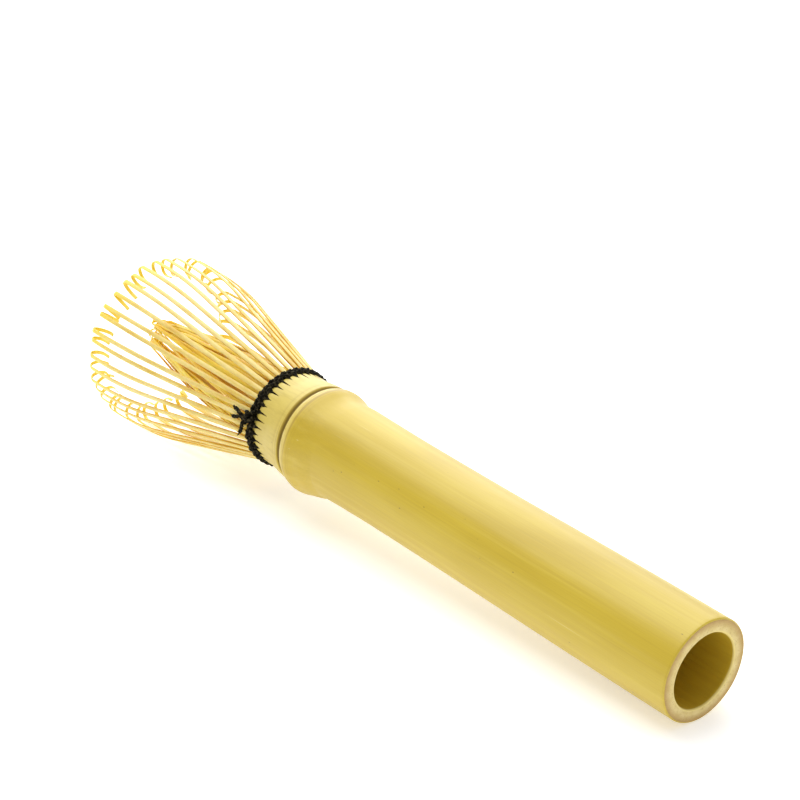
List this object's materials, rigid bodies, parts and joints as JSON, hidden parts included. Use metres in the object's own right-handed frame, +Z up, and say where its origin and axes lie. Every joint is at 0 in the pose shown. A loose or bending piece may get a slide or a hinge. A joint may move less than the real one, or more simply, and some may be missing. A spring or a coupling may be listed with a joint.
{
  "type": "bamboo tea whisk",
  "caption": "Bamboo whisk for powdered tea: a hollow handle with a node ridge, a bound ring of flaring hooked tines, and an inner tuft of leaning tines.",
  "frame": {"origin": "middle of the whisk's box, on the surface that the whisk lies on", "axes": "+X along the whisk from the handle's open end towards the tines, +Z up, +Y to the left; the whisk's axis rises 3.2 degrees towards the head"},
  "size_m": [0.2096, 0.048, 0.0483],
  "materials": {
    "bamboo_skin": "satin, natural bamboo skin with fine lengthwise streaks",
    "bamboo_flesh": "matte cut bamboo with dotted fibre ends",
    "tine_bamboo": "satin split bamboo, golden at the hooks",
    "black_thread": "waxed twisted cotton, woven round the tines"
  },
  "bodies": {
    "root": {"handle_culm": "bamboo_skin", "node_ridge": "bamboo_skin", "node_septum": "bamboo_flesh", "collar": "bamboo_skin", "outer_tine_01": "tine_bamboo", "outer_tine_02": "tine_bamboo", "outer_tine_03": "tine_bamboo", "outer_tine_04": "tine_bamboo", "outer_tine_05": "tine_bamboo", "outer_tine_06": "tine_bamboo", "outer_tine_07": "tine_bamboo", "outer_tine_08": "tine_bamboo", "outer_tine_09": "tine_bamboo", "outer_tine_10": "tine_bamboo", "outer_tine_11": "tine_bamboo", "outer_tine_12": "tine_bamboo", "outer_tine_13": "tine_bamboo", "outer_tine_14": "tine_bamboo", "outer_tine_15": "tine_bamboo", "outer_tine_16": "tine_bamboo", "outer_tine_17": "tine_bamboo", "outer_tine_18": "tine_bamboo", "outer_tine_19": "tine_bamboo", "outer_tine_20": "tine_bamboo", "outer_tine_21": "tine_bamboo", "outer_tine_22": "tine_bamboo", "outer_tine_23": "tine_bamboo", "outer_tine_24": "tine_bamboo", "outer_tine_25": "tine_bamboo", "outer_tine_26": "tine_bamboo", "outer_tine_27": "tine_bamboo", "outer_tine_28": "tine_bamboo", "outer_tine_29": "tine_bamboo", "outer_tine_30": "tine_bamboo", "outer_tine_31": "tine_bamboo", "outer_tine_32": "tine_bamboo", "outer_tine_33": "tine_bamboo", "outer_tine_34": "tine_bamboo", "outer_tine_35": "tine_bamboo", "outer_tine_36": "tine_bamboo", "outer_tine_37": "tine_bamboo", "outer_tine_38": "tine_bamboo", "outer_tine_39": "tine_bamboo", "outer_tine_40": "tine_bamboo", "inner_tines_01": "tine_bamboo", "inner_tines_02": "tine_bamboo", "inner_tines_03": "tine_bamboo", "inner_tines_04": "tine_bamboo", "inner_tines_05": "tine_bamboo", "inner_tines_06": "tine_bamboo", "inner_tines_07": "tine_bamboo", "inner_tines_08": "tine_bamboo", "inner_tines_09": "tine_bamboo", "inner_tines_10": "tine_bamboo", "binding_thread": "black_thread", "thread_knot": "black_thread", "thread_tail_long": "black_thread", "thread_tail_up": "black_thread", "thread_tail_down": "black_thread"}
  },
  "joints": []
}
